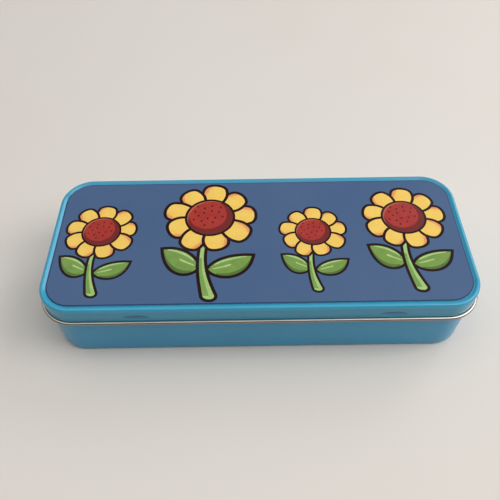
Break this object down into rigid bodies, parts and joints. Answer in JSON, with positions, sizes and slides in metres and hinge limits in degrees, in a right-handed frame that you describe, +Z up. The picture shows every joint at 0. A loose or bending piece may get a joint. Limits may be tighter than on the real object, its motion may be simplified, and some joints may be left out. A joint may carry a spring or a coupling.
{
  "type": "hinged tin pencil case",
  "caption": "Flat rounded tin pencil case: drawn base, hinged lid with rolled edge and snap dimples, and a decorated plate set into the lid.",
  "frame": {"origin": "on the resting plane, under the middle of the case", "axes": "+X along the case to the right, -Y to the front with the snap dimples, +Y to the hinge side, +Z up"},
  "size_m": [0.199, 0.0814, 0.037],
  "materials": {
    "base_lacquer": "satin light blue lacquer on tinplate",
    "lid_lacquer": "satin light blue lacquer on tinplate",
    "plate_print": "slate blue print on aluminium",
    "film": "translucent double-sided film",
    "pin_wire": "drawn steel wire"
  },
  "bodies": {
    "base": {"base_shell": "base_lacquer"},
    "lid": {"lid_shell": "lid_lacquer", "decorated_plate": "plate_print", "mounting_film": "film", "hinge_pin_left": "pin_wire", "hinge_pin_right": "pin_wire"}
  },
  "joints": [
    {"name": "lid_hinge", "type": "hinge", "parent": "base", "child": "lid", "pos_m": [0, 0.03985, 0.0274], "axis": [-1, 0, 0], "range_deg": [0, 110]}
  ]
}
